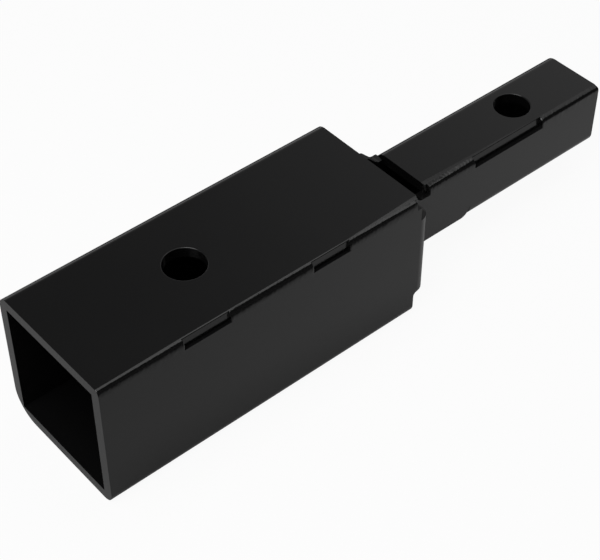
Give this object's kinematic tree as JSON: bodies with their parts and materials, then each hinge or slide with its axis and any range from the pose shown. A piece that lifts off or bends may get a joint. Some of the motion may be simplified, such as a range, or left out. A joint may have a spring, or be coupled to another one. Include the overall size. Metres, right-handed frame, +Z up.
{
  "type": "hitch receiver adapter",
  "caption": "Square hitch receiver tube joggled down to a smaller square shank, folded from plate, stitch-welded and painted black, with a cross pin hole in each tube.",
  "frame": {"origin": "under the middle of the whole length, on the face that the receiver tube rests on", "axes": "+X along the adapter from the open mouth to the tip of the shank, +Z up along both pin holes, +Y across"},
  "size_m": [0.273, 0.062, 0.062],
  "materials": {
    "painted_plate": "semi-gloss black powder coat, fine orange peel",
    "painted_weld": "semi-gloss black powder coat over a rippled weld"
  },
  "bodies": {
    "root": {"upper_folded_shell": "painted_plate", "lower_folded_shell": "painted_plate", "upper_seam_bead_mouth": "painted_weld", "upper_seam_bead_middle": "painted_weld", "upper_seam_bead_rear": "painted_weld", "upper_seam_bead_root": "painted_weld", "upper_seam_bead_tip": "painted_weld", "lower_seam_bead_middle": "painted_weld", "lower_seam_bead_rear": "painted_weld", "lower_seam_bead_root": "painted_weld", "lower_seam_bead_tip": "painted_weld"}
  },
  "joints": []
}
